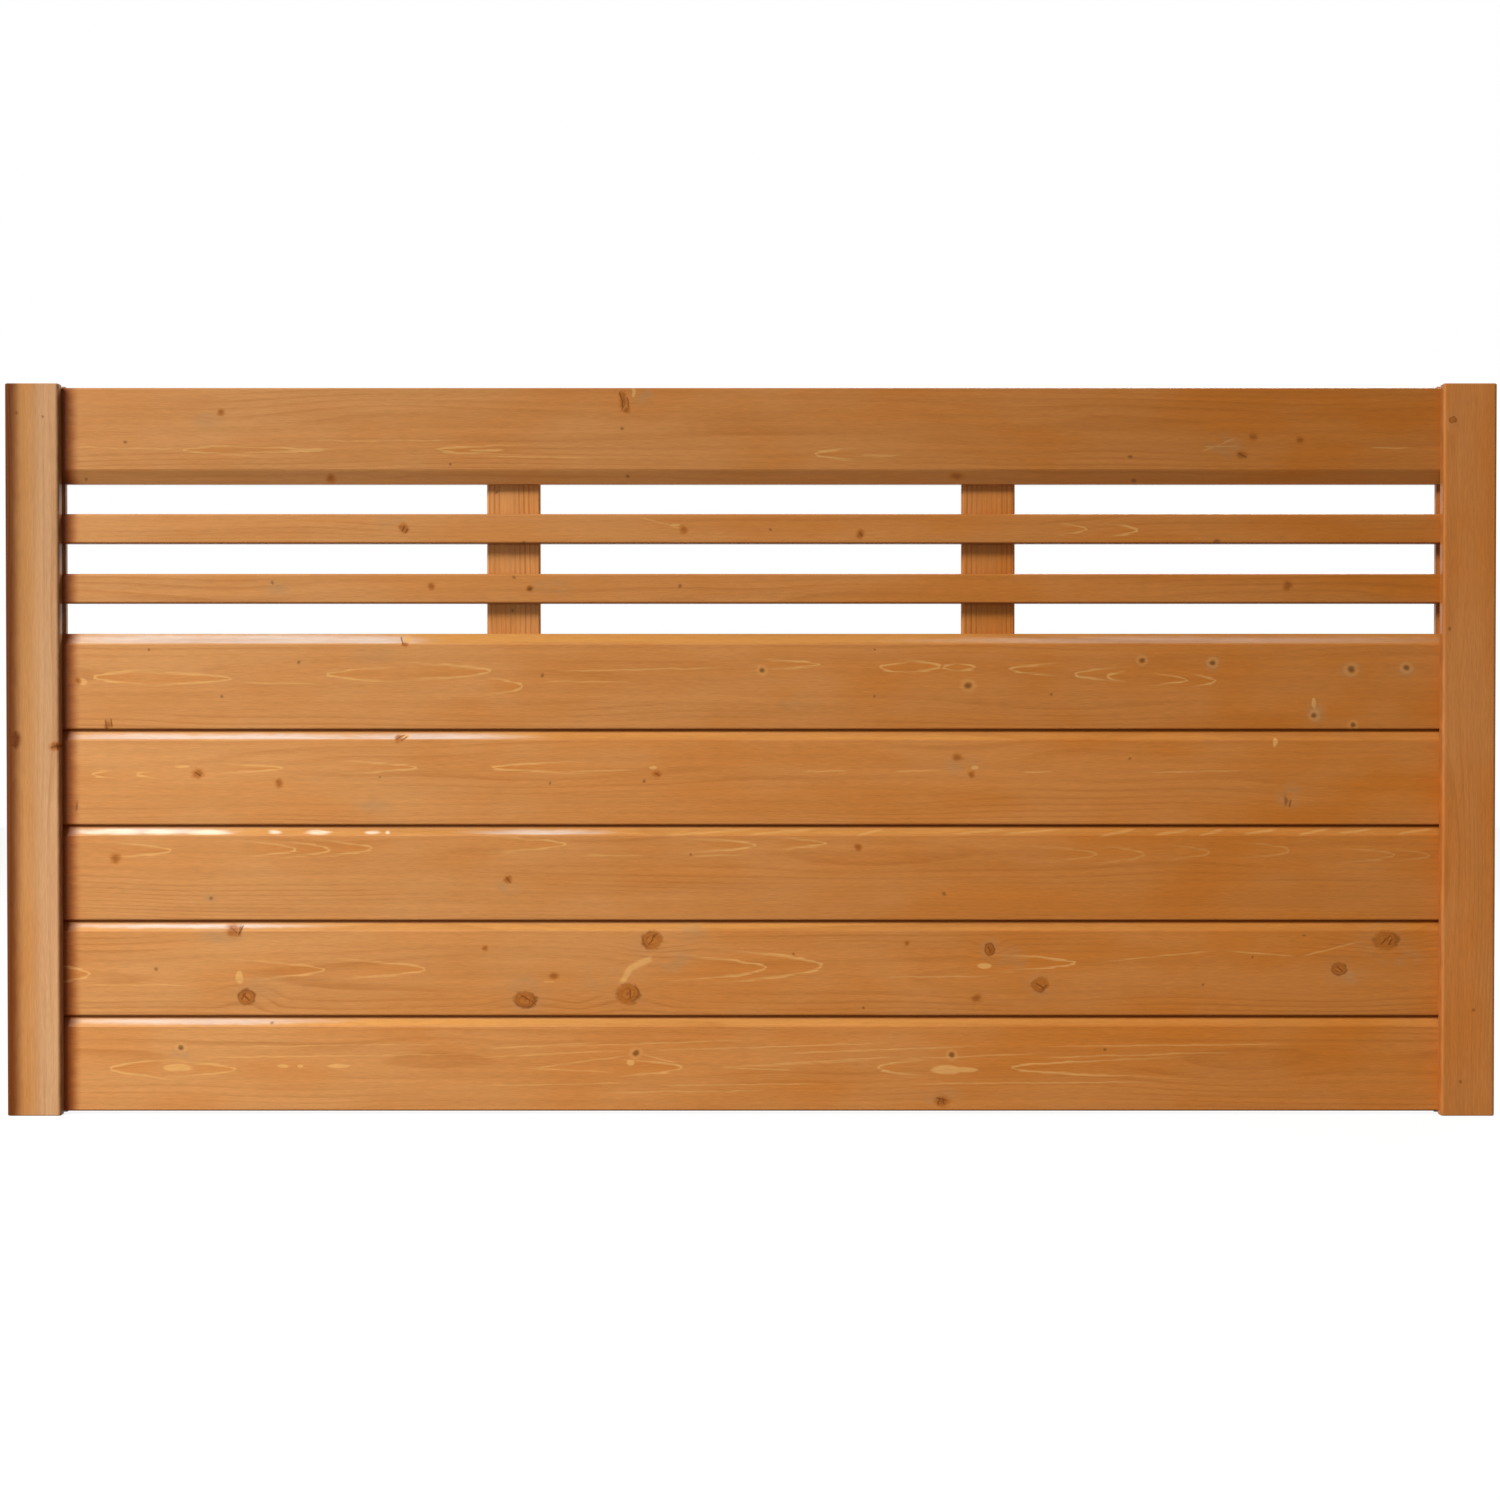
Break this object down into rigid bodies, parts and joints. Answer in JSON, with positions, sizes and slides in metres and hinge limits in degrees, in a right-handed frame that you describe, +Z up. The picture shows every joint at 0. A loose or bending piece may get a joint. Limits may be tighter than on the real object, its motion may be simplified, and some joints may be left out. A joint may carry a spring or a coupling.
{
  "type": "privacy fence panel",
  "caption": "Stained softwood privacy fence panel: grooved posts hold tongue-and-groove boards below slats with light gaps and a deep top rail, with battens stapled on behind.",
  "frame": {"origin": "centre of the panel's footprint, on the ground plane under the posts", "axes": "+X to the viewer's right along the panel, +Y from the front towards the back, +Z up"},
  "size_m": [1.8, 0.045, 0.885],
  "materials": {
    "post_timber": "satin stain",
    "board_timber": "satin stain",
    "batten_timber": "satin stain",
    "staple_steel": "galvanised"
  },
  "bodies": {
    "root": {"left_post": "post_timber", "right_post": "post_timber", "top_rail": "board_timber", "upper_slat": "board_timber", "lower_slat": "board_timber", "top_board": "board_timber", "second_board": "board_timber", "middle_board": "board_timber", "fourth_board": "board_timber", "bottom_board": "board_timber", "left_batten": "batten_timber", "right_batten": "batten_timber", "left_post_staples": "staple_steel", "right_post_staples": "staple_steel", "left_batten_staples": "staple_steel", "right_batten_staples": "staple_steel"}
  },
  "joints": []
}
